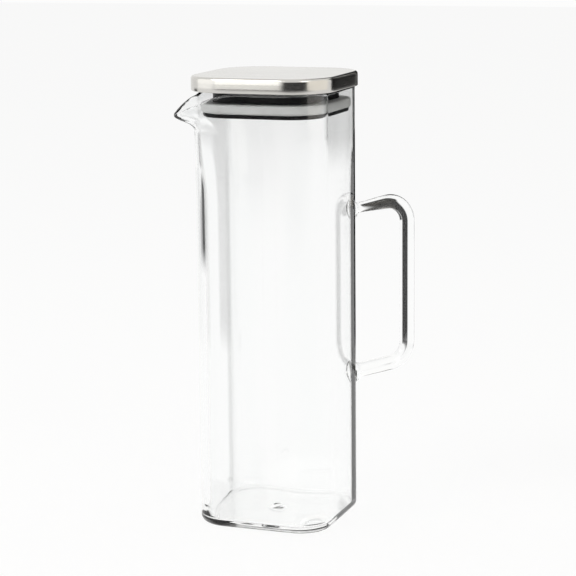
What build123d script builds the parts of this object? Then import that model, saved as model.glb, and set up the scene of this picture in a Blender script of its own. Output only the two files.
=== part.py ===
from math import cos, radians, sin, sqrt, tan

import os

from build123d import *

os.makedirs("parts", exist_ok=True)

# Square glass pitcher with a corner spout, a corner handle and a lift-off steel lid.
# Millimetres. Origin at the middle of the base, Z up, flat sides square to X and Y.
# The spout is on the (-X, -Y) corner and the handle on the (+X, +Y) corner.
# "rho" is the distance from the axis along that diagonal, "off" the distance to its side.

# vessel
SIDE = 85.0
CORNER_R = 19.9
HEIGHT = 268.2
WALL = 2.2
FLOOR = 4.0
HEEL_R = 7.0
INNER_HEEL_R = 5.0
PUSH_UP = 0.8
PUSH_UP_R = 27.0
NUB_R = 4.0
NUB_H = 0.7
RIM_ROUND = 0.8

# drawn corner spout: outline of its plan at full reach, as (rho, off)
SPOUT_START_Z = 241.0
SPOUT_FLANK_OFF = 20.0
SPOUT_PLAN = [(46.4, 14.2), (51.5, 12.7), (57.0, 9.2), (61.8, 5.8), (65.6, 2.9), (67.0, 0.0)]
# share of the full reach at each height, which gives the underside of the spout
SPOUT_GROWTH = [
    (243.5, 0.0),
    (246.0, 0.07),
    (248.0, 0.19),
    (250.0, 0.42),
    (252.0, 0.73),
    (253.5, 0.9),
    (255.5, 0.99),
    (259.0, 1.02),
    (264.0, 1.03),
    (270.0, 1.04),
]
SPOUT_FLOOR_LIFT = 1.9
# height of the rim over each rho, from the level rim down to the tip
RIM_DIP = [
    (40.8, 267.7),
    (43.6, 266.8),
    (46.9, 265.5),
    (51.5, 263.7),
    (57.0, 261.2),
    (61.0, 258.9),
    (64.5, 256.5),
    (69.5, 252.3),
]
RIM_DIP_START = 36.5

# handle
ROD_R = 4.7
TOP_ROOT_R = 3.1
GRIP_RHO = 90.9
TOP_CORNER_Z = 194.7
BOTTOM_CORNER_Z = 90.0
TOP_RUN_RISE = 6.7
BOTTOM_RUN_RISE = 6.2
BEND_R = 13.5
TOP_FLARE_R = 6.2
BOTTOM_FLARE_R = 7.4
FLARE_LENGTH = 5.0

# lid
LID_GAP = 0.3
CAP_SIDE = 90.8
CAP_CORNER_R = 26.8
CAP_HEIGHT = 9.1
CAP_EDGE_R = 2.0
SHEET = 0.8
HEM = 1.6
LINER_FIT = 0.1
LINER_PLATE = 2.8
LINER_WALL = 1.8
RIB_T = 1.6
NECK_SIDE = 66.0
NECK_CORNER_R = 17.0
NECK_WALL = 2.2
GASKET_TOP_DROP = 7.0
GASKET_HEIGHT = 6.1
GASKET_FIT = 0.5
GASKET_SEAT_STEP = 2.0
GASKET_EDGE_R = 1.4
COVER_HEIGHT = 2.4
COVER_SIDE = 76.2
COVER_EDGE_R = 0.8
SPIGOT_HEIGHT = 4.0
SPIGOT_WALL = 1.6
SPIGOT_FIT = 0.1

ROOT2 = sqrt(2.0)


def rounded_square(side, radius, z):
    """Rounded square face at height z."""
    return Plane.XY.offset(z) * RectangleRounded(side, side, radius)


def square_block(side, radius, z0, z1):
    """Upright block with rounded corners between two heights."""
    return extrude(rounded_square(side, radius, z0), z1 - z0)


def spout_xy(point):
    """Turn (rho, off) on the spout's diagonal into x and y."""
    rho, off = point
    return (-(rho + off) / ROOT2, -(rho - off) / ROOT2)


def plain_corner_plan(side, radius, count):
    """Points of the plain round corner as (rho, off), from its tangent to the middle."""
    centre = (side / 2 - radius) * ROOT2
    points = []
    for i in range(count):
        angle = radians(45.0 * (1 - i / (count - 1)))
        points.append((centre + radius * cos(angle), radius * sin(angle)))
    return points


def inset_plan(points, start, amount):
    """Move each point of a plan inwards, square to the line through its neighbours."""
    line = [start] + points + [(points[-2][0], -points[-2][1])]
    moved = []
    for i in range(1, len(line) - 1):
        dx = line[i + 1][0] - line[i - 1][0]
        dy = line[i + 1][1] - line[i - 1][1]
        length = sqrt(dx * dx + dy * dy)
        moved.append((line[i][0] + amount * dy / length, line[i][1] - amount * dx / length))
    moved[-1] = (moved[-1][0], 0.0)
    return moved


def spout_section(inset, share, z):
    """Section of the vessel at height z, with the corner drawn out by the given share."""
    side = SIDE - 2 * inset
    radius = CORNER_R - inset
    half = side / 2
    flank_off = SPOUT_FLANK_OFF - inset / ROOT2
    flank_rho = half * ROOT2 - flank_off
    outer_flank = (SIDE / 2 * ROOT2 - SPOUT_FLANK_OFF, SPOUT_FLANK_OFF)
    plain = plain_corner_plan(side, radius, len(SPOUT_PLAN))
    drawn = SPOUT_PLAN
    if inset > 0:
        drawn = inset_plan(SPOUT_PLAN, outer_flank, inset)
    blend = []
    for a, b in zip(plain, drawn):
        blend.append((a[0] + share * (b[0] - a[0]), a[1] + share * (b[1] - a[1])))
    row = [(flank_rho, flank_off)] + blend
    row = row + [(rho, -off) for rho, off in reversed(row[:-1])]
    pts = [(*spout_xy(p), z) for p in row]
    left = pts[0]
    front = pts[-1]
    nose = Spline(*pts, tangents=[(0, -1, 0), (1, 0, 0)])
    k = half - radius
    d = radius / ROOT2
    edges = [
        nose,
        Line(front, (k, -half, z)),
        ThreePointArc((k, -half, z), (k + d, -k - d, z), (half, -k, z)),
        Line((half, -k, z), (half, k, z)),
        ThreePointArc((half, k, z), (k + d, k + d, z), (k, half, z)),
        Line((k, half, z), (-k, half, z)),
        ThreePointArc((-k, half, z), (-k - d, k + d, z), (-half, k, z)),
        Line((-half, k, z), left),
    ]
    return make_face(edges)


def vessel_shape(inset, bottom, heel, lift):
    """Closed shape of the vessel's outside, or of its inside when inset by the wall."""
    lower = extrude(spout_section(inset, 0.0, bottom), SPOUT_START_Z - bottom)
    lower = fillet(lower.faces().sort_by(Axis.Z)[0].edges(), heel)
    sections = [spout_section(inset, 0.0, SPOUT_START_Z)]
    for z, share in SPOUT_GROWTH:
        raise_by = lift if z < SPOUT_GROWTH[-1][0] else 0.0
        sections.append(spout_section(inset, share, z + raise_by))
    return lower + loft(sections)


def above_rim():
    """Everything over the rim line, level round the vessel and dipping to the spout's tip."""
    curve = Spline((RIM_DIP_START, HEIGHT), *RIM_DIP, tangents=[(1, 0), (0.72, -0.69)])
    far = RIM_DIP[-1][0]
    face = make_face(
        [
            Line((-SIDE, HEIGHT), (RIM_DIP_START, HEIGHT)),
            curve,
            Line((far, RIM_DIP[-1][1]), (far + 30, RIM_DIP[-1][1] - 10)),
            Line((far + 30, RIM_DIP[-1][1] - 10), (far + 30, HEIGHT + 30)),
            Line((far + 30, HEIGHT + 30), (-SIDE, HEIGHT + 30)),
            Line((-SIDE, HEIGHT + 30), (-SIDE, HEIGHT)),
        ]
    )
    diagonal = Plane(origin=(0, 0, 0), x_dir=(-1, -1, 0), z_dir=(-1, 1, 0))
    return extrude(diagonal * face, SIDE, both=True)


def glass_body():
    """Thin-walled square vessel with a heavy floor, a drawn corner spout and a round rim."""
    outer = vessel_shape(0.0, 0.0, HEEL_R, 0.0)
    inner = vessel_shape(WALL, FLOOR, INNER_HEEL_R, SPOUT_FLOOR_LIFT)
    vessel = outer - inner - above_rim()
    push_up = Pos(0, 0, -0.01) * Cone(PUSH_UP_R, PUSH_UP_R - 6, PUSH_UP + 0.01,
                                     align=(Align.CENTER, Align.CENTER, Align.MIN))
    vessel = vessel - push_up
    nub = Pos(0, 0, FLOOR) * Cone(NUB_R, NUB_R * 0.45, NUB_H,
                                  align=(Align.CENTER, Align.CENTER, Align.MIN))
    return vessel + nub


def diagonal_point(rho, z):
    """Point on the handle's diagonal plane."""
    return Vector(rho / ROOT2, rho / ROOT2, z)


def cone_between(start, end, start_r, end_r):
    """Straight round bar from one point to another with a radius at each end."""
    way = end - start
    plane = Plane(origin=start, z_dir=way.normalized())
    if start_r == end_r:
        return Solid.make_cylinder(start_r, way.length, plane)
    return Solid.make_cone(start_r, end_r, way.length, plane)


def bend(first, corner, last, radius, rod):
    """Quarter bend of round bar between two straight runs, with its two tangent points."""
    a = (first - corner).normalized()
    b = (last - corner).normalized()
    half_angle = radians(a.get_angle(b)) / 2
    reach = radius / tan(half_angle)
    start = corner + a * reach
    end = corner + b * reach
    middle_way = (a + b).normalized()
    centre = corner + middle_way * (radius / sin(half_angle))
    middle = centre - middle_way * radius
    arc = ThreePointArc(start, middle, end)
    section = Plane(origin=start, z_dir=a * -1) * Circle(rod)
    return sweep(section, path=arc), start, end


def glass_handle():
    """Clear rod handle: two rising runs, two bends and an upright grip, flared at its roots."""
    root_rho = (SIDE / 2 - CORNER_R) * ROOT2 + CORNER_R
    inside_rho = root_rho - WALL
    top_corner = diagonal_point(GRIP_RHO, TOP_CORNER_Z)
    low_corner = diagonal_point(GRIP_RHO, BOTTOM_CORNER_Z)
    top_slope = tan(radians(TOP_RUN_RISE))
    low_slope = tan(radians(BOTTOM_RUN_RISE))
    top_root = diagonal_point(inside_rho, TOP_CORNER_Z - (GRIP_RHO - inside_rho) * top_slope)
    low_root = diagonal_point(inside_rho, BOTTOM_CORNER_Z - (GRIP_RHO - inside_rho) * low_slope)
    top_bend, top_a, top_b = bend(top_root, top_corner, low_corner, BEND_R, ROD_R)
    low_bend, low_a, low_b = bend(low_root, low_corner, top_corner, BEND_R, ROD_R)
    top_run = cone_between(top_root, top_a, TOP_ROOT_R, ROD_R)
    low_run = cone_between(low_root, low_a, ROD_R, ROD_R)
    grip = cone_between(low_b, top_b, ROD_R, ROD_R)
    flare_reach = FLARE_LENGTH + WALL
    top_way = (top_a - top_root).normalized()
    low_way = (low_a - low_root).normalized()
    top_flare = cone_between(top_root, top_root + top_way * flare_reach, TOP_FLARE_R, TOP_ROOT_R)
    low_flare = cone_between(low_root, low_root + low_way * flare_reach, BOTTOM_FLARE_R, ROD_R)
    rod = grip + top_bend + low_bend + top_run + low_run + top_flare + low_flare
    return rod - square_block(SIDE, CORNER_R, 0, HEIGHT)


CAP_BOTTOM = HEIGHT + LID_GAP
CAP_TOP = CAP_BOTTOM + CAP_HEIGHT
HEM_TOP = CAP_BOTTOM + SHEET
SHELL_SIDE = CAP_SIDE - 2 * SHEET
SHELL_R = CAP_CORNER_R - SHEET
HEM_SIDE = SHELL_SIDE - 2 * HEM
HEM_R = SHELL_R - HEM
GASKET_TOP = CAP_BOTTOM - GASKET_TOP_DROP
GASKET_BOTTOM = GASKET_TOP - GASKET_HEIGHT
COVER_BOTTOM = GASKET_BOTTOM - COVER_HEIGHT
SEAT_SIDE = NECK_SIDE - 2 * GASKET_SEAT_STEP
SEAT_R = NECK_CORNER_R - GASKET_SEAT_STEP


def lid_cap():
    """Drawn steel cap: flat top, rounded edge, straight skirt and a hem turned in below."""
    outer = square_block(CAP_SIDE, CAP_CORNER_R, CAP_BOTTOM, CAP_TOP)
    outer = fillet(outer.faces().sort_by(Axis.Z)[-1].edges(), CAP_EDGE_R)
    outer = fillet(outer.faces().sort_by(Axis.Z)[0].edges(), SHEET * 0.5)
    inner = square_block(SHELL_SIDE, SHELL_R, HEM_TOP, CAP_TOP - SHEET)
    inner = fillet(inner.faces().sort_by(Axis.Z)[-1].edges(), CAP_EDGE_R - SHEET)
    mouth = square_block(HEM_SIDE, HEM_R, CAP_BOTTOM - 1, HEM_TOP + 0.1)
    return outer - inner - mouth


def lid_neck():
    """Moulded liner held by the hem: plate, edge wall and ribs inside, hollow neck below."""
    liner_side = SHELL_SIDE - 2 * LINER_FIT
    liner_r = SHELL_R - LINER_FIT
    liner_top = CAP_TOP - SHEET - CAP_EDGE_R
    plate_top = CAP_BOTTOM + LINER_PLATE
    step = square_block(HEM_SIDE - 2 * LINER_FIT, HEM_R - LINER_FIT, CAP_BOTTOM, HEM_TOP)
    plate = square_block(liner_side, liner_r, HEM_TOP, plate_top)
    wall = square_block(liner_side, liner_r, plate_top, liner_top)
    wall = wall - square_block(liner_side - 2 * LINER_WALL, liner_r - LINER_WALL,
                               plate_top, liner_top)
    rib_length = liner_side - 2 * LINER_WALL
    rib_height = CAP_TOP - SHEET - plate_top
    ribs = Pos(0, 0, plate_top + rib_height / 2) * Box(rib_length - 4, RIB_T, rib_height)
    ribs = ribs + Pos(0, 0, plate_top + rib_height / 2) * Box(RIB_T, rib_length - 4, rib_height)
    neck = square_block(NECK_SIDE, NECK_CORNER_R, GASKET_TOP, CAP_BOTTOM)
    seat = square_block(SEAT_SIDE, SEAT_R, GASKET_BOTTOM, GASKET_TOP)
    hollow = square_block(SEAT_SIDE - 2 * NECK_WALL, SEAT_R - NECK_WALL,
                          GASKET_BOTTOM, CAP_BOTTOM)
    return step + plate + wall + ribs + neck + seat - hollow


def lid_gasket():
    """Silicone ring round the neck, with a rounded edge just clear of the glass."""
    side = SIDE - 2 * WALL - 2 * GASKET_FIT
    radius = CORNER_R - WALL - GASKET_FIT
    ring = square_block(side, radius, GASKET_BOTTOM, GASKET_TOP)
    ring = fillet(ring.faces().sort_by(Axis.Z)[-1].edges(), GASKET_EDGE_R)
    ring = fillet(ring.faces().sort_by(Axis.Z)[0].edges(), GASKET_EDGE_R)
    return ring - square_block(SEAT_SIDE, SEAT_R, GASKET_BOTTOM, GASKET_TOP)


def lid_bottom_cover():
    """Plate that closes the neck and holds the gasket, with a spigot pressed into the neck."""
    corner = NECK_CORNER_R + (COVER_SIDE - NECK_SIDE) / 2 - 3
    plate = square_block(COVER_SIDE, corner, COVER_BOTTOM, GASKET_BOTTOM)
    plate = fillet(plate.faces().sort_by(Axis.Z)[0].edges(), COVER_EDGE_R)
    spigot_side = SEAT_SIDE - 2 * NECK_WALL - 2 * SPIGOT_FIT
    spigot_r = SEAT_R - NECK_WALL - SPIGOT_FIT
    top = GASKET_BOTTOM + SPIGOT_HEIGHT
    spigot = square_block(spigot_side, spigot_r, GASKET_BOTTOM, top)
    spigot = spigot - square_block(spigot_side - 2 * SPIGOT_WALL, spigot_r - SPIGOT_WALL,
                                   GASKET_BOTTOM, top)
    return plate + spigot


PARTS = {
    "glass_body": glass_body,
    "glass_handle": glass_handle,
    "lid_cap": lid_cap,
    "lid_neck": lid_neck,
    "lid_gasket": lid_gasket,
    "lid_bottom_cover": lid_bottom_cover,
}

for name, make in PARTS.items():
    shape = make()
    box = shape.bounding_box()
    print(name, len(shape.solids()), round(shape.volume, 1), box.min, box.max)
    export_step(shape, f"parts/{name}.step")
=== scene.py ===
import bmesh
import bpy
from math import atan2, cos, exp, hypot, pi, radians, sin, sqrt, tan
from mathutils import Matrix, Vector


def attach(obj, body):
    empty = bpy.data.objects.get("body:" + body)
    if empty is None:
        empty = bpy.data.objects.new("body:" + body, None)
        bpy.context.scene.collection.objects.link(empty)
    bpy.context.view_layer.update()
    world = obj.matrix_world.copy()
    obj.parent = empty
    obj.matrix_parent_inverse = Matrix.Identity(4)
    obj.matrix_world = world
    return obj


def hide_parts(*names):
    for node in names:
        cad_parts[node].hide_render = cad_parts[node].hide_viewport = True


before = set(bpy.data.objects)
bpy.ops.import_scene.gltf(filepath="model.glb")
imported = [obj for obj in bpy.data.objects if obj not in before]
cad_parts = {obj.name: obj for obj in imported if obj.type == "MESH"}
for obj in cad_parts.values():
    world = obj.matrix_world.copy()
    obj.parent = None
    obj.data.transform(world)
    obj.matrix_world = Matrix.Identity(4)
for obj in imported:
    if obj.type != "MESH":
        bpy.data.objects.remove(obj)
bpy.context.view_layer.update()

# Lengths are written in millimetres and turned into metres when a piece is placed.
MM = 0.001
ROOT2 = sqrt(2.0)

# vessel
SIDE = 85.0
CORNER_R = 19.9
GLASS_HEIGHT = 268.2
WALL = 2.2
FLOOR_LIFT = 1.8
HEEL_R = 4.0
CORNER_EXTRA = 1.7
PUSH_UP = 0.8
MIDDLE_R = 37.0
SPOUT_START = 241.0
SPOUT_FLANK = (40.1, 20.0)
SPOUT_PLAN = [(46.4, 14.2), (51.5, 12.7), (57.0, 9.2), (61.8, 5.8), (65.6, 2.9), (67.0, 0.0)]
SPOUT_GROWTH = [
    (241.0, 0.0), (243.5, 0.0), (246.0, 0.07), (248.0, 0.19), (250.0, 0.42), (252.0, 0.73),
    (253.5, 0.9), (255.5, 0.99), (259.0, 1.02), (264.0, 1.03), (270.0, 1.04),
]
RIM_LINE = [
    (0.0, 268.2), (36.5, 268.2), (40.8, 267.7), (43.6, 266.8), (46.9, 265.5), (51.5, 263.7),
    (57.0, 261.2), (61.0, 258.9), (64.5, 256.5), (69.5, 252.3),
]

# handle
ROD_R = 4.7
TOP_ROOT_R = 3.1
GRIP_RHO = 90.88
TOP_CORNER_Z = 194.7
LOW_CORNER_Z = 90.0
BEND_R = 13.5
ROOT_RHO = (SIDE / 2 - CORNER_R) * ROOT2 + CORNER_R

# lid
CAP_BOTTOM = 268.5
CAP_TOP = 277.6
CAP_SIDE = 90.8
CAP_CORNER_R = 26.8
SHEET = 0.8
GASKET_TOP = 261.5
GASKET_BOTTOM = 255.4
GASKET_SIDE = 79.6
GASKET_CORNER_R = 22.0
SEAT_SIDE = 62.0
SEAT_CORNER_R = 15.0


def smooth_table(table, x):
    """Read a table of (x, y) at x along a curve that never overshoots its points."""
    if x <= table[0][0]:
        return table[0][1]
    if x >= table[-1][0]:
        return table[-1][1]
    slopes = [(b[1] - a[1]) / (b[0] - a[0]) for a, b in zip(table, table[1:])]
    ends = [slopes[0]]
    for s, t in zip(slopes, slopes[1:]):
        ends.append(0.0 if s * t <= 0 else 2 * s * t / (s + t))
    ends.append(slopes[-1])
    for i, (a, b) in enumerate(zip(table, table[1:])):
        if x <= b[0]:
            h = b[0] - a[0]
            t = (x - a[0]) / h
            return (a[1] * (1 + 2 * t) * (1 - t) ** 2 + ends[i] * h * t * (1 - t) ** 2
                    + b[1] * t * t * (3 - 2 * t) + ends[i + 1] * h * t * t * (t - 1))


def along(points, share):
    """Point at a share of the length of a polyline."""
    lengths = [hypot(b[0] - a[0], b[1] - a[1]) for a, b in zip(points, points[1:])]
    left = share * sum(lengths)
    for a, b, length in zip(points, points[1:], lengths):
        if left <= length:
            t = left / length
            return (a[0] + (b[0] - a[0]) * t, a[1] + (b[1] - a[1]) * t)
        left -= length
    return points[-1]


def rounded_line(points, passes):
    """Smooth a polyline by a curve through its points, cut into short steps."""
    line = [points[0]] + points + [points[-1]]
    out = []
    for a, b, c, d in zip(line, line[1:], line[2:], line[3:]):
        for k in range(passes):
            t = k / passes
            out.append(tuple(
                0.5 * (2 * b[n] + (c[n] - a[n]) * t + (2 * a[n] - 5 * b[n] + 4 * c[n] - d[n]) * t * t
                       + (3 * b[n] - a[n] - 3 * c[n] + d[n]) * t ** 3) for n in (0, 1)))
    out.append(points[-1])
    return out


def square_plan(side, radius, arc_steps=14, flat_steps=8):
    """Plan of a rounded square, one point after another, from the spout's corner onwards."""
    plan = []
    k = side / 2 - radius
    for quarter in range(4):
        turn = radians(225 + 90 * quarter)
        centre = Vector((cos(turn), sin(turn))) * k * ROOT2
        for i in range(arc_steps + 1):
            angle = turn + radians(90) * (i / arc_steps - 0.5)
            plan.append(centre + Vector((cos(angle), sin(angle))) * radius)
        start = plan[-1]
        after = radians(225 + 90 * (quarter + 1))
        angle = after - radians(45)
        goal = Vector((cos(after), sin(after))) * k * ROOT2 + Vector((cos(angle), sin(angle))) * radius
        for i in range(1, flat_steps):
            plan.append(start.lerp(goal, i / flat_steps))
    return plan


NOSE_STEPS = 64


def vessel_plan(side, radius, drawn):
    """Plan of the vessel, with the spout's corner drawn out by a share."""
    lost = (SIDE - side) / 2
    flank = (SPOUT_FLANK[0] - lost / ROOT2, SPOUT_FLANK[1] - lost / ROOT2)
    centre = (side / 2 - radius) * ROOT2
    plain = [flank]
    for i in range(25):
        angle = radians(45 * (1 - i / 24))
        plain.append((centre + radius * cos(angle), radius * sin(angle)))
    plain += [(rho, -off) for rho, off in reversed(plain[:-1])]
    plan = []
    for i in range(NOSE_STEPS + 1):
        share = 1 - i / NOSE_STEPS
        a = along(plain, share)
        b = along(SPOUT_SHAPE, share)
        rho = a[0] + (b[0] - a[0]) * drawn
        off = a[1] + (b[1] - a[1]) * drawn
        plan.append(Vector((-(rho - off) / ROOT2, -(rho + off) / ROOT2)))
    rest = square_plan(side, radius, 18, 14)[19:]
    rest = [p for p in rest if (-(p.x + p.y) / ROOT2) < flank[0] - 0.6]
    return plan + rest


SPOUT_HALF = [SPOUT_FLANK] + SPOUT_PLAN
SPOUT_SHAPE = rounded_line(SPOUT_HALF + [(rho, -off) for rho, off in reversed(SPOUT_HALF[:-1])], 8)


def draw_out(bm, rings):
    """Start from a circle on the first ring and extrude its edge loop from ring to ring."""
    loop = bmesh.ops.create_circle(bm, segments=len(rings[0]), radius=1.0)["verts"]
    for vert, place in zip(loop, rings[0]):
        vert.co = place
    edges = list({edge for vert in loop for edge in vert.link_edges})
    loops = [loop]
    for ring in rings[1:]:
        made = bmesh.ops.extrude_edge_only(bm, edges=edges)["geom"]
        fresh = {item for item in made if isinstance(item, bmesh.types.BMVert)}
        edges = [item for item in made if isinstance(item, bmesh.types.BMEdge)
                 and item.verts[0] in fresh and item.verts[1] in fresh]
        after = []
        for vert in loop:
            after.append(next(edge.other_vert(vert) for edge in vert.link_edges
                              if edge.other_vert(vert) in fresh))
        loop = after
        for vert, place in zip(loop, ring):
            vert.co = place
        loops.append(loop)
    return loops


def close_to_point(bm, loop):
    """Draw an end loop together into one point."""
    middle = sum((vert.co for vert in loop), Vector()) / len(loop)
    bmesh.ops.pointmerge(bm, verts=loop, merge_co=middle)


def finish_piece(bm, name, body, nodes, material, smooth_angle=None):
    """Turn a bmesh into a piece that rides on a body and stands for its nodes."""
    bmesh.ops.remove_doubles(bm, verts=bm.verts, dist=1e-7)
    bmesh.ops.recalc_face_normals(bm, faces=bm.faces)
    mesh = bpy.data.meshes.new(name)
    bm.to_mesh(mesh)
    bm.free()
    for polygon in mesh.polygons:
        polygon.use_smooth = True
    if smooth_angle is not None:
        mesh.set_sharp_from_angle(angle=radians(smooth_angle))
    mesh.materials.append(material)
    piece = bpy.data.objects.new(name, mesh)
    bpy.context.scene.collection.objects.link(piece)
    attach(piece, body)
    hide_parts(*nodes)
    return piece


def lift_ring(plan, z):
    """Lay a plan at a height, in metres."""
    return [Vector((p.x * MM, p.y * MM, z * MM)) for p in plan]


def new_material(name):
    """Material with its nodes, its links and its shader."""
    material = bpy.data.materials.new(name)
    material.use_nodes = True
    nodes = material.node_tree.nodes
    return material, nodes, material.node_tree.links, nodes["Principled BSDF"]


def grain(nodes, links, scale, stretch, detail=3.0):
    """Noise on the piece's own coordinates, stretched along its axes."""
    where = nodes.new("ShaderNodeTexCoord")
    mapping = nodes.new("ShaderNodeMapping")
    mapping.inputs["Scale"].default_value = stretch
    links.new(where.outputs["Object"], mapping.inputs["Vector"])
    noise = nodes.new("ShaderNodeTexNoise")
    noise.inputs["Scale"].default_value = scale
    noise.inputs["Detail"].default_value = detail
    links.new(mapping.outputs["Vector"], noise.inputs["Vector"])
    return noise


def spread(nodes, links, source, low, high):
    """Turn a noise into a value between two limits."""
    span = nodes.new("ShaderNodeMapRange")
    span.inputs["From Min"].default_value = 0.3
    span.inputs["From Max"].default_value = 0.7
    span.inputs["To Min"].default_value = low
    span.inputs["To Max"].default_value = high
    links.new(source, span.inputs["Value"])
    return span.outputs["Result"]


def tint(nodes, links, source, dark, light):
    """Turn a noise into a colour between two others."""
    ramp = nodes.new("ShaderNodeValToRGB")
    ramp.color_ramp.elements[0].position = 0.3
    ramp.color_ramp.elements[0].color = (*dark, 1)
    ramp.color_ramp.elements[1].position = 0.7
    ramp.color_ramp.elements[1].color = (*light, 1)
    links.new(source, ramp.inputs["Fac"])
    return ramp.outputs["Color"]


def bump(nodes, links, source, depth, shader):
    """Let a noise raise the surface by a depth in metres."""
    node = nodes.new("ShaderNodeBump")
    node.inputs["Strength"].default_value = 1.0
    node.inputs["Distance"].default_value = depth
    links.new(source, node.inputs["Height"])
    links.new(node.outputs["Normal"], shader.inputs["Normal"])


def clear_glass(name, wave_depth):
    """Clear glass with long soft draw lines, and a shadow as thin as real glass casts."""
    material, nodes, links, shader = new_material(name)
    shader.inputs["Transmission Weight"].default_value = 1.0
    shader.inputs["IOR"].default_value = 1.47
    draw = grain(nodes, links, 55.0, (1.0, 1.0, 0.06), 1.5)
    links.new(tint(nodes, links, draw.outputs["Fac"], (0.985, 0.992, 0.99), (1.0, 1.0, 1.0)),
              shader.inputs["Base Color"])
    specks = grain(nodes, links, 320.0, (1.0, 1.0, 1.0), 2.0)
    links.new(spread(nodes, links, specks.outputs["Fac"], 0.0, 0.018), shader.inputs["Roughness"])
    bump(nodes, links, draw.outputs["Fac"], wave_depth, shader)
    path = nodes.new("ShaderNodeLightPath")
    thin = nodes.new("ShaderNodeBsdfTransparent")
    thin.inputs["Color"].default_value = (0.90, 0.905, 0.905, 1)
    mix = nodes.new("ShaderNodeMixShader")
    links.new(path.outputs["Is Shadow Ray"], mix.inputs["Fac"])
    links.new(shader.outputs["BSDF"], mix.inputs[1])
    links.new(thin.outputs["BSDF"], mix.inputs[2])
    links.new(mix.outputs["Shader"], nodes["Material Output"].inputs["Surface"])
    return material


def satin_steel(name):
    """Stainless sheet with a fine straight grain."""
    material, nodes, links, shader = new_material(name)
    shader.inputs["Metallic"].default_value = 1.0
    shader.inputs["Anisotropic"].default_value = 0.2
    lines = grain(nodes, links, 900.0, (0.035, 1.0, 1.0), 4.0)
    cloud = grain(nodes, links, 40.0, (1.0, 1.0, 1.0), 2.0)
    links.new(tint(nodes, links, cloud.outputs["Fac"], (0.60, 0.585, 0.555), (0.65, 0.635, 0.605)),
              shader.inputs["Base Color"])
    links.new(spread(nodes, links, lines.outputs["Fac"], 0.13, 0.19), shader.inputs["Roughness"])
    bump(nodes, links, lines.outputs["Fac"], 0.000004, shader)
    return material


def moulded_black(name):
    """Black moulded plastic with a fine even skin."""
    material, nodes, links, shader = new_material(name)
    shader.inputs["Specular IOR Level"].default_value = 0.1
    skin = grain(nodes, links, 700.0, (1.0, 1.0, 1.0), 2.0)
    links.new(tint(nodes, links, skin.outputs["Fac"], (0.004, 0.004, 0.0045), (0.010, 0.010, 0.0105)),
              shader.inputs["Base Color"])
    links.new(spread(nodes, links, skin.outputs["Fac"], 0.32, 0.46), shader.inputs["Roughness"])
    bump(nodes, links, skin.outputs["Fac"], 0.00003, shader)
    return material


def milky_silicone(name):
    """Milky grey silicone that lets a little light through."""
    material, nodes, links, shader = new_material(name)
    shader.inputs["Subsurface Weight"].default_value = 0.5
    shader.inputs["Subsurface Radius"].default_value = (0.004, 0.004, 0.004)
    shader.inputs["Transmission Weight"].default_value = 0.25
    shader.inputs["IOR"].default_value = 1.42
    cloud = grain(nodes, links, 120.0, (1.0, 1.0, 1.0), 3.0)
    links.new(tint(nodes, links, cloud.outputs["Fac"], (0.72, 0.725, 0.71), (0.80, 0.805, 0.79)),
              shader.inputs["Base Color"])
    links.new(spread(nodes, links, cloud.outputs["Fac"], 0.34, 0.48), shader.inputs["Roughness"])
    bump(nodes, links, cloud.outputs["Fac"], 0.00004, shader)
    return material


VESSEL_GLASS = clear_glass("vessel_glass", 0.00003)
HANDLE_GLASS = clear_glass("rod_glass", 0.00003)
CAP_STEEL = satin_steel("cap_steel_satin")
LINER_BLACK = moulded_black("liner_black")
COVER_BLACK = moulded_black("cover_black")
GASKET_MILK = milky_silicone("gasket_milk")


def growth_at(z):
    return smooth_table(SPOUT_GROWTH, z)


def rim_height(plan_point):
    rho = -(plan_point.x + plan_point.y) / ROOT2
    return smooth_table(RIM_LINE, rho)


def rim_heights():
    """Height of the rim over each point of the plan, with the corner drawn out."""
    heights = [GLASS_HEIGHT] * len(vessel_plan(SIDE, CORNER_R, 0.0))
    for _ in range(12):
        plans = {}
        for i, z in enumerate(heights):
            key = round(z, 3)
            if key not in plans:
                plans[key] = vessel_plan(SIDE, CORNER_R, growth_at(z))
            heights[i] = 0.5 * z + 0.5 * rim_height(plans[key][i])
    return heights


def outside_rings():
    """Rings of the vessel's outside from the middle of the base up to the rim."""
    heel = vessel_plan(SIDE - 2 * HEEL_R, CORNER_R - HEEL_R, 0.0)
    rings = []
    for size in (0.02, 0.035, 0.05, 0.065, 0.08, 0.095, 0.11, 0.13, 0.16, 0.22, 0.32, 0.45, 0.56,
                 0.66, 0.74, 0.8, 0.86, 0.93):
        lift = PUSH_UP * smooth_step(1 - size / 0.95)
        roundness = 1 - smooth_step((size - 0.2) / 0.5)
        ring = []
        for p in heel:
            on_circle = p.normalized() * MIDDLE_R
            ring.append(p.lerp(on_circle, roundness) * size)
        rings.append(lift_ring(ring, lift))
    for i in range(9):
        a = radians(90 * i / 8)
        inset = HEEL_R * (1 - sin(a))
        plan = vessel_plan(SIDE - 2 * inset, CORNER_R - inset, 0.0)
        rings.append(lift_ring(plan, HEEL_R * (1 - cos(a))))
    plain = vessel_plan(SIDE, CORNER_R, 0.0)
    for i in range(1, 25):
        rings.append(lift_ring(plain, HEEL_R + (SPOUT_START - HEEL_R) * i / 24))
    tops = rim_heights()
    steps = 36
    for step in range(1, steps + 1):
        ring = []
        cache = {}
        for i, top in enumerate(tops):
            z = SPOUT_START + (top - WALL / 2 - SPOUT_START) * step / steps
            key = round(z, 3)
            if key not in cache:
                cache[key] = vessel_plan(SIDE, CORNER_R, growth_at(z))
            p = cache[key][i]
            ring.append(Vector((p.x * MM, p.y * MM, z * MM)))
        rings.append(ring)
    return rings


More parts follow.
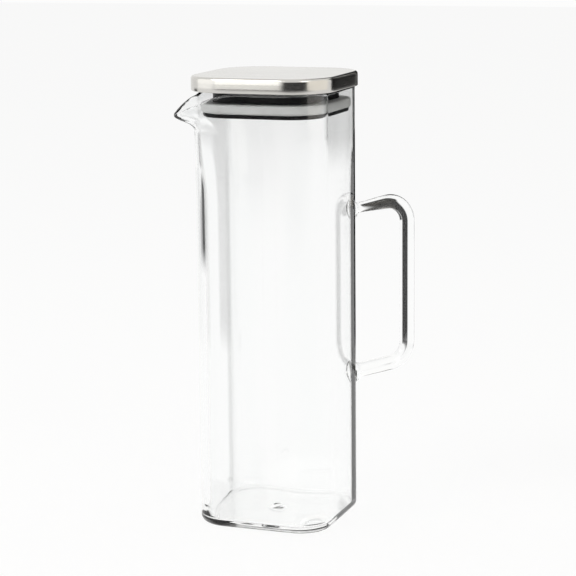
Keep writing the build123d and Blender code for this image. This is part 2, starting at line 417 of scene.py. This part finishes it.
def ring_normals(rings):
    """Outward normal at each point of the rings."""
    normals = []
    count = len(rings[0])
    for j, ring in enumerate(rings):
        below = rings[max(j - 1, 0)]
        above = rings[min(j + 1, len(rings) - 1)]
        row = []
        for i in range(count):
            around = ring[(i + 1) % count] - ring[i - 1]
            up = above[i] - below[i]
            row.append(around.cross(up).normalized())
        normals.append(row)
    return normals


def smooth_step(t):
    t = min(max(t, 0.0), 1.0)
    return t * t * (3 - 2 * t)


def inside_rings(outside, normals):
    """Rings of the inside, set in by the wall, with a heavier floor and its worked centre."""
    rings = []
    count = len(outside[0])
    for ring, row in zip(outside, normals):
        inner = []
        for i, (p, n) in enumerate(zip(ring, row)):
            a = 2 * pi * i / count
            streak = 0.012 * sin(9 * a + 1.3) + 0.006 * sin(17 * a)
            corner = smooth_step((min(abs(p.x), abs(p.y)) / MM - 17.0) / 20.0)
            corner *= 1 - smooth_step((p.z / MM - 205.0) / 34.0)
            upright = smooth_step(1.15 * (1 - abs(n.z)) ** 2)
            q = p - n * (WALL + (streak + CORNER_EXTRA * corner) * upright) * MM
            low = 1 - smooth_step((q.z / MM - 2.0) / 12.0)
            q.z += FLOOR_LIFT * low * MM
            r = hypot(q.x, q.y) / MM
            if r < 9.0 and q.z < 0.02:
                turn = atan2(q.y, q.x)
                swirl = 0.5 * exp(-((r - 4.4) / 1.5) ** 2) * (0.5 + 0.5 * cos(turn - r * 0.9))
                q.z += (0.25 * exp(-(r / 2.0) ** 2) + swirl) * MM
            inner.append(q)
        rings.append(inner)
    return rings


def make_vessel():
    outside = outside_rings()
    normals = ring_normals(outside)
    inside = inside_rings(outside, normals)
    rim = []
    top = outside[-1]
    under = outside[-2]
    inner_top = inside[-1]
    for k in range(1, 7):
        a = pi * k / 7
        ring = []
        for o, u, i in zip(top, under, inner_top):
            middle = (o + i) / 2
            rise = (o - u).normalized()
            ring.append(middle + (o - middle) * cos(a) + rise * (o - middle).length * sin(a))
        rim.append(ring)
    bm = bmesh.new()
    loops = draw_out(bm, outside + rim + list(reversed(inside)))
    close_to_point(bm, loops[0])
    close_to_point(bm, loops[-1])
    return finish_piece(bm, "vessel", "pitcher", ["glass_body"], VESSEL_GLASS)


def handle_line():
    """Centre line of the rod in its own plane, as (rho, z), from root to root."""
    top = (GRIP_RHO, TOP_CORNER_Z)
    low = (GRIP_RHO, LOW_CORNER_Z)
    top_root = (ROOT_RHO, TOP_CORNER_Z - (GRIP_RHO - ROOT_RHO) * tan(radians(6.7)))
    low_root = (ROOT_RHO, LOW_CORNER_Z - (GRIP_RHO - ROOT_RHO) * tan(radians(6.2)))
    points = []

    def run(a, b, count):
        for k in range(count):
            t = k / count
            points.append((a[0] + (b[0] - a[0]) * t, a[1] + (b[1] - a[1]) * t))

    def corner(before, at, after):
        a = Vector((before[0] - at[0], before[1] - at[1])).normalized()
        b = Vector((after[0] - at[0], after[1] - at[1])).normalized()
        half = a.angle(b) / 2
        start = Vector(at) + a * (BEND_R / tan(half))
        centre = Vector(at) + (a + b).normalized() * (BEND_R / sin(half))
        sweep = pi - 2 * half
        first = start - centre
        arc = []
        for k in range(21):
            turned = first.copy()
            turned.rotate(Matrix.Rotation(-sweep * k / 20, 2))
            arc.append(centre + turned)
        return arc

    top_arc = corner(top_root, top, low)
    low_arc = corner(top, low, low_root)
    run(top_root, top_arc[0], 22)
    points.extend((p.x, p.y) for p in top_arc[:-1])
    run(top_arc[-1], low_arc[0], 20)
    points.extend((p.x, p.y) for p in low_arc[:-1])
    run(low_arc[-1], low_root, 22)
    points.append(low_root)
    return points


def rod_radius(reach_top, reach_low):
    """Rod thickness: thin at its upper root, full round the grip, flared where it is fused on."""
    thick = TOP_ROOT_R + (ROD_R - TOP_ROOT_R) * smooth_step(reach_top / 34.0)
    thick += 3.1 * exp(-(reach_top / 2.3) ** 2) + 2.6 * exp(-(reach_low / 2.6) ** 2)
    return thick


def make_handle():
    line = handle_line()
    lengths = [0.0]
    for a, b in zip(line, line[1:]):
        lengths.append(lengths[-1] + hypot(b[0] - a[0], b[1] - a[1]))
    whole = lengths[-1]
    rings = []
    sides = 40
    corner_centre = (SIDE / 2 - CORNER_R) * ROOT2
    surface = CORNER_R + 0.03

    def place(rho, off, z):
        return Vector(((rho - off) / ROOT2, (rho + off) / ROOT2, z)) * MM

    def on_vessel(ring):
        return [(corner_centre + sqrt(surface ** 2 - off ** 2), off, z) for rho, off, z in ring]

    raw = []
    for k, (rho, z) in enumerate(line):
        before = line[max(k - 1, 0)]
        after = line[min(k + 1, len(line) - 1)]
        way = Vector((after[0] - before[0], after[1] - before[1])).normalized()
        side_way = Vector((-way.y, way.x))
        radius = rod_radius(lengths[k], whole - lengths[k])
        ring = []
        for n in range(sides):
            a = 2 * pi * n / sides
            ring.append((rho + side_way.x * radius * cos(a), radius * sin(a),
                         z + side_way.y * radius * cos(a)))
        raw.append(ring)
    raw[0] = on_vessel(raw[0])
    raw[-1] = on_vessel(raw[-1])

    def cap(ring, centre):
        steps = []
        for size in (0.12, 0.35, 0.6, 0.82):
            steps.append(on_vessel([(rho, off * size, centre + (z - centre) * size)
                                    for rho, off, z in ring]))
        return steps

    start = cap(raw[0], line[0][1])
    end = list(reversed(cap(raw[-1], line[-1][1])))
    for ring in start + raw + end:
        rings.append([place(*p) for p in ring])
    bm = bmesh.new()
    loops = draw_out(bm, rings)
    close_to_point(bm, loops[0])
    close_to_point(bm, loops[-1])
    return finish_piece(bm, "handle", "pitcher", ["glass_handle"], HANDLE_GLASS)


def make_cap():
    """Drawn cap: inside of the sheet, hem, rolled lower edge, skirt, rounded top edge, flat top."""
    profile = []
    inner_side = CAP_SIDE - 2 * SHEET
    inner_top = CAP_TOP - SHEET
    for size in (0.02, 0.5, 0.9):
        profile.append((inner_side * size, (CAP_CORNER_R - SHEET) * size, inner_top))
    for i in range(5):
        a = radians(90 * i / 4)
        lost = 1.2 * (1 - sin(a))
        profile.append((inner_side - 2 * lost, CAP_CORNER_R - SHEET - lost,
                        inner_top - 1.2 * (1 - cos(a))))
    hem_top = CAP_BOTTOM + SHEET
    profile.append((inner_side, CAP_CORNER_R - SHEET, hem_top + 0.3))
    profile.append((inner_side - 0.4, CAP_CORNER_R - SHEET - 0.2, hem_top))
    profile.append((inner_side - 3.1, CAP_CORNER_R - SHEET - 1.55, hem_top))
    profile.append((inner_side - 3.2, CAP_CORNER_R - SHEET - 1.6, hem_top - 0.2))
    profile.append((inner_side - 3.2, CAP_CORNER_R - SHEET - 1.6, CAP_BOTTOM + 0.2))
    profile.append((inner_side - 3.0, CAP_CORNER_R - SHEET - 1.5, CAP_BOTTOM))
    for i in range(5):
        a = radians(90 * i / 4)
        lost = 0.6 * (1 - sin(a))
        profile.append((CAP_SIDE - 2 * lost, CAP_CORNER_R - lost, CAP_BOTTOM + 0.6 * (1 - cos(a))))
    profile.append((CAP_SIDE, CAP_CORNER_R, CAP_BOTTOM + 3.0))
    profile.append((CAP_SIDE, CAP_CORNER_R, CAP_TOP - 4.0))
    for i in range(9):
        a = radians(90 * i / 8)
        lost = 2.0 * (1 - cos(a))
        profile.append((CAP_SIDE - 2 * lost, CAP_CORNER_R - lost, CAP_TOP - 2.0 * (1 - sin(a))))
    for size in (0.93, 0.8, 0.6, 0.4, 0.2, 0.02):
        profile.append(((CAP_SIDE - 4) * size, (CAP_CORNER_R - 2) * size, CAP_TOP))
    bm = bmesh.new()
    loops = draw_out(bm, [lift_ring(square_plan(s, r, 24, 10), z) for s, r, z in profile])
    close_to_point(bm, loops[0])
    close_to_point(bm, loops[-1])
    return finish_piece(bm, "cap", "lid", ["lid_cap"], CAP_STEEL)


def make_gasket():
    """Silicone ring: rounded edge towards the glass, flat seat on the neck."""
    half = (GASKET_SIDE - SEAT_SIDE) / 2
    profile = [(0.0, GASKET_BOTTOM), (0.0, GASKET_TOP), (0.4, GASKET_TOP)]
    profile += [(half - 2.0, GASKET_TOP - 0.15)]
    for i in range(7):
        a = radians(90 * i / 6)
        profile.append((half - 1.4 * (1 - sin(a)), GASKET_TOP - 0.2 - 1.4 * (1 - cos(a))))
    for i in range(7):
        a = radians(90 * i / 6)
        profile.append((half - 1.4 * (1 - cos(a)), GASKET_BOTTOM + 0.1 + 1.4 * (1 - sin(a))))
    profile += [(half - 2.0, GASKET_BOTTOM), (0.4, GASKET_BOTTOM)]
    rings = []
    for out, z in profile:
        radius = SEAT_CORNER_R + (GASKET_CORNER_R - SEAT_CORNER_R) * out / half
        rings.append(lift_ring(square_plan(SEAT_SIDE + 2 * out, radius, 20, 8), z))
    bm = bmesh.new()
    loops = draw_out(bm, rings)
    ends = [edge for edge in bm.edges if edge.is_boundary]
    bmesh.ops.bridge_loops(bm, edges=ends)
    return finish_piece(bm, "gasket", "lid", ["lid_gasket"], GASKET_MILK, 50)


make_vessel()
make_handle()
make_cap()
make_gasket()

for node, material in (("lid_neck", LINER_BLACK), ("lid_bottom_cover", COVER_BLACK)):
    part = bpy.data.objects[node]
    for slot in part.material_slots:
        slot.material = material


TOWARDS_CAMERA = (0.3535, -0.9354, 0.0)
FLOOR_GLOW = 0.78

def maths(nodes, links, operation, first, second, clamp=False):
    """Math node on two values, each an output or a number."""
    node = nodes.new("ShaderNodeMath")
    node.operation = operation
    node.use_clamp = clamp
    for socket, value in zip(node.inputs, (first, second)):
        if isinstance(value, (int, float)):
            socket.default_value = value
        else:
            links.new(value, socket)
    return node.outputs[0]


def soft_span(nodes, links, source, start, end):
    """Rise smoothly from 0 at the start to 1 at the end."""
    span = nodes.new("ShaderNodeMapRange")
    span.interpolation_type = "SMOOTHSTEP"
    span.inputs["From Min"].default_value = start
    span.inputs["From Max"].default_value = end
    links.new(source, span.inputs["Value"])
    return span.outputs["Result"]


def fade_edges(nodes, links, glow, soft):
    """Let a panel thin out towards its edges; mirrored rays and single glass meet it."""
    where = nodes.new("ShaderNodeTexCoord")
    parts = nodes.new("ShaderNodeSeparateXYZ")
    links.new(where.outputs["Object"], parts.inputs["Vector"])
    shares = []
    for axis, (half, edge) in zip("XY", soft):
        away = nodes.new("ShaderNodeMath")
        away.operation = "ABSOLUTE"
        links.new(parts.outputs[axis], away.inputs[0])
        shares.append(soft_span(nodes, links, away.outputs[0], half, half - edge))
    both = maths(nodes, links, "MULTIPLY", shares[0], shares[1])
    path = nodes.new("ShaderNodeLightPath")
    mirrored = maths(nodes, links, "GREATER_THAN", path.outputs["Glossy Depth"], 0.5)
    single = maths(nodes, links, "LESS_THAN", path.outputs["Transmission Depth"], 2.5)
    met = maths(nodes, links, "MAXIMUM", mirrored, single)
    amount = maths(nodes, links, "MULTIPLY", both, met)
    clear = nodes.new("ShaderNodeBsdfTransparent")
    mix = nodes.new("ShaderNodeMixShader")
    links.new(amount, mix.inputs["Fac"])
    links.new(clear.outputs["BSDF"], mix.inputs[1])
    links.new(glow.outputs["Emission"], mix.inputs[2])
    links.new(mix.outputs["Shader"], nodes["Material Output"].inputs["Surface"])


def panel(name, corners, colour, strength, place=None, soft=None):
    """Flat studio panel seen only in the metal and the glass."""
    bm = bmesh.new()
    verts = [bm.verts.new(c) for c in corners]
    bmesh.ops.contextual_create(bm, geom=verts)
    mesh = bpy.data.meshes.new(name)
    bm.to_mesh(mesh)
    bm.free()
    material = bpy.data.materials.new(name)
    material.use_nodes = True
    nodes = material.node_tree.nodes
    nodes.remove(nodes["Principled BSDF"])
    glow = nodes.new("ShaderNodeEmission")
    glow.inputs["Color"].default_value = (*colour, 1)
    glow.inputs["Strength"].default_value = strength
    material.node_tree.links.new(glow.outputs["Emission"], nodes["Material Output"].inputs["Surface"])
    if soft:
        fade_edges(nodes, material.node_tree.links, glow, soft)
    mesh.materials.append(material)
    obj = bpy.data.objects.new(name, mesh)
    bpy.context.scene.collection.objects.link(obj)
    if place is not None:
        obj.matrix_world = place
    obj.visible_camera = False
    obj.visible_diffuse = False
    obj.visible_shadow = False
    return obj


def make_floor():
    """White floor that keeps the shadow; mirrored, it shows painted shade, a dark sheet far out on the
    camera's side.
    """
    bm = bmesh.new()
    bmesh.ops.create_grid(bm, x_segments=1, y_segments=1, size=6.0)
    mesh = bpy.data.meshes.new("floor")
    bm.to_mesh(mesh)
    bm.free()
    material = bpy.data.materials.new("pale_floor")
    material.use_nodes = True
    nodes = material.node_tree.nodes
    links = material.node_tree.links
    nodes.remove(nodes["Principled BSDF"])
    paint = nodes.new("ShaderNodeBsdfDiffuse")
    paint.inputs["Color"].default_value = (0.93, 0.93, 0.93, 1)
    glow = nodes.new("ShaderNodeEmission")
    path = nodes.new("ShaderNodeLightPath")
    direct = maths(nodes, links, "ADD", path.outputs["Is Camera Ray"], path.outputs["Is Glossy Ray"])
    seen = maths(nodes, links, "ADD", direct, path.outputs["Is Transmission Ray"], True)
    share = maths(nodes, links, "MULTIPLY", seen, FLOOR_GLOW)
    where = nodes.new("ShaderNodeTexCoord")
    front = nodes.new("ShaderNodeVectorMath")
    front.operation = "DOT_PRODUCT"
    front.inputs[1].default_value = TOWARDS_CAMERA
    links.new(where.outputs["Object"], front.inputs[0])
    # painted shade: mirrored rays see the floor far out on the camera's side as a near-black sheet,
    # while the camera sees it white
    far_front = soft_span(nodes, links, front.outputs["Value"], 0.8, 1.7)
    mirrored = maths(nodes, links, "GREATER_THAN", path.outputs["Glossy Depth"], 0.5)
    dark = maths(nodes, links, "MULTIPLY", far_front, mirrored)
    sheet = nodes.new("ShaderNodeMix")
    sheet.data_type = "RGBA"
    sheet.inputs["A"].default_value = (1.0, 1.0, 0.995, 1)
    sheet.inputs["B"].default_value = (0.03, 0.03, 0.03, 1)
    links.new(dark, sheet.inputs["Factor"])
    links.new(sheet.outputs["Result"], glow.inputs["Color"])
    either = maths(nodes, links, "MAXIMUM", share, dark)
    mix = nodes.new("ShaderNodeMixShader")
    links.new(either, mix.inputs["Fac"])
    links.new(paint.outputs["BSDF"], mix.inputs[1])
    links.new(glow.outputs["Emission"], mix.inputs[2])
    links.new(mix.outputs["Shader"], nodes["Material Output"].inputs["Surface"])
    mesh.materials.append(material)
    obj = bpy.data.objects.new("floor", mesh)
    bpy.context.scene.collection.objects.link(obj)


def make_world():
    """White room for the eye and through the glass; for reflections, dark on the camera's side."""
    world = bpy.data.worlds.new("studio")
    world.use_nodes = True
    bpy.context.scene.world = world
    nodes = world.node_tree.nodes
    links = world.node_tree.links
    room = nodes["Background"]
    room.inputs["Color"].default_value = (0.97, 0.97, 0.98, 1)
    room.inputs["Strength"].default_value = 0.8
    white = nodes.new("ShaderNodeBackground")
    white.inputs["Color"].default_value = (0.98, 0.98, 0.975, 1)
    white.inputs["Strength"].default_value = 1.0
    where = nodes.new("ShaderNodeTexCoord")
    behind = nodes.new("ShaderNodeVectorMath")
    behind.operation = "DOT_PRODUCT"
    behind.inputs[1].default_value = [-v for v in TOWARDS_CAMERA]
    links.new(where.outputs["Generated"], behind.inputs[0])
    level = nodes.new("ShaderNodeValToRGB")
    level.color_ramp.elements[0].position = 0.35
    level.color_ramp.elements[0].color = (0.05, 0.05, 0.05, 1)
    level.color_ramp.elements[1].position = 0.55
    level.color_ramp.elements[1].color = (0.95, 0.95, 0.94, 1)
    span = nodes.new("ShaderNodeMapRange")
    span.inputs["From Min"].default_value = -1.0
    span.inputs["From Max"].default_value = 1.0
    links.new(behind.outputs["Value"], span.inputs["Value"])
    links.new(span.outputs["Result"], level.inputs["Fac"])
    heights = nodes.new("ShaderNodeSeparateXYZ")
    links.new(where.outputs["Generated"], heights.inputs["Vector"])
    overhead = soft_span(nodes, links, heights.outputs["Z"], 0.12, 0.28)
    ceiling = nodes.new("ShaderNodeMix")
    ceiling.data_type = "RGBA"
    ceiling.inputs["B"].default_value = (0.95, 0.95, 0.94, 1)
    links.new(overhead, ceiling.inputs["Factor"])
    links.new(level.outputs["Color"], ceiling.inputs["A"])
    mirrored = nodes.new("ShaderNodeBackground")
    links.new(ceiling.outputs["Result"], mirrored.inputs["Color"])
    path = nodes.new("ShaderNodeLightPath")
    unmirrored = maths(nodes, links, "LESS_THAN", path.outputs["Glossy Depth"], 0.5)
    through = maths(nodes, links, "MULTIPLY", path.outputs["Is Transmission Ray"], unmirrored)
    seen = maths(nodes, links, "ADD", path.outputs["Is Camera Ray"], through, True)
    bounced = maths(nodes, links, "ADD", path.outputs["Is Glossy Ray"],
                    path.outputs["Is Transmission Ray"], True)
    gloss = nodes.new("ShaderNodeMixShader")
    links.new(bounced, gloss.inputs["Fac"])
    links.new(room.outputs["Background"], gloss.inputs[1])
    links.new(mirrored.outputs["Background"], gloss.inputs[2])
    mix = nodes.new("ShaderNodeMixShader")
    links.new(seen, mix.inputs["Fac"])
    links.new(gloss.outputs["Shader"], mix.inputs[1])
    links.new(white.outputs["Background"], mix.inputs[2])
    links.new(mix.outputs["Shader"], nodes["World Output"].inputs["Surface"])


def soft_light(name, place, target, size, power, colour=(1, 1, 1)):
    data = bpy.data.lights.new(name, "AREA")
    data.shape = "SQUARE"
    data.size = size
    data.energy = power
    data.color = colour
    obj = bpy.data.objects.new(name, data)
    bpy.context.scene.collection.objects.link(obj)
    obj.location = place
    obj.rotation_euler = (Vector(target) - Vector(place)).to_track_quat("-Z", "Y").to_euler()
    return obj


def upright_panel(name, azimuth, distance, width, low, high, colour, strength, soft=(0.06, 0.06)):
    """Upright panel round the object; azimuth 0 is towards +X, 90 towards +Y."""
    a = radians(azimuth)
    wide, tall = width / 2, (high - low) / 2
    corners = [(-wide, -tall, 0), (wide, -tall, 0), (wide, tall, 0), (-wide, tall, 0)]
    middle = Vector((cos(a), sin(a), 0)) * distance + Vector((0, 0, (low + high) / 2))
    place = Matrix((
        (-sin(a), 0, cos(a), middle.x),
        (cos(a), 0, sin(a), middle.y),
        (0, 1, 0, middle.z),
        (0, 0, 0, 1)))
    return panel(name, corners, colour, strength, place, ((wide, soft[0]), (tall, soft[1])))


def make_camera():
    turn, away, height = 20.7025572, 1228.60961, 379.522795
    focus, pan, tilt, roll = 2017.60021, 0.308050343, 10.8429004, -0.598831436
    a, p, t, r = (radians(v) for v in (turn, pan, tilt, roll))
    place = Vector((away * sin(a), -away * cos(a), height)) * MM
    ahead = Vector((-sin(a), cos(a), 0))
    right = Vector((cos(a), sin(a), 0))
    up = Vector((0, 0, 1))
    f1 = ahead * cos(p) + right * sin(p)
    r1 = right * cos(p) - ahead * sin(p)
    f2 = f1 * cos(t) - up * sin(t)
    u2 = up * cos(t) + f1 * sin(t)
    r3 = r1 * cos(r) + u2 * sin(r)
    u3 = u2 * cos(r) - r1 * sin(r)
    data = bpy.data.cameras.new("camera")
    data.sensor_width = 36.0
    data.lens = focus / 576 * 36.0
    data.clip_start = 0.05
    obj = bpy.data.objects.new("camera", data)
    bpy.context.scene.collection.objects.link(obj)
    obj.matrix_world = Matrix((
        (r3.x, u3.x, -f2.x, place.x),
        (r3.y, u3.y, -f2.y, place.y),
        (r3.z, u3.z, -f2.z, place.z),
        (0, 0, 0, 1)))
    bpy.context.scene.camera = obj


make_floor()
make_world()
soft_light("key", (-0.9, -1.2, 1.7), (0, 0, 0.12), 0.9, 12.0)
soft_light("fill", (1.3, -0.9, 1.2), (0, 0, 0.15), 0.7, 4.0, (1.0, 0.97, 0.93))
upright_panel("flag_behind_right", 85, 0.38, 0.20, 0.01, 0.95, (0, 0, 0), 0.0, (0.025, 0.03))
upright_panel("flag_cap_right", 58, 1.0, 0.60, 0.08, 0.9, (0, 0, 0), 0.0, (0.03, 0.05))
upright_panel("flag_left", 170, 0.65, 0.22, 0.04, 0.205, (0, 0, 0), 0.0, (0.05, 0.03))
upright_panel("box_right", -4, 1.0, 1.25, 0.1, 1.0, (1.0, 0.96, 0.89), 1.15)
upright_panel("box_left", -152, 1.3, 1.5, 0.135, 1.2, (1.0, 1.0, 0.99), 1.5, (0.1, 0.01))
upright_panel("box_left_front", -114, 1.5, 1.3, 0.130, 0.9, (1.0, 1.0, 0.98), 1.9, (0.55, 0.006))
make_camera()
bpy.context.scene.view_settings.view_transform = "Standard"
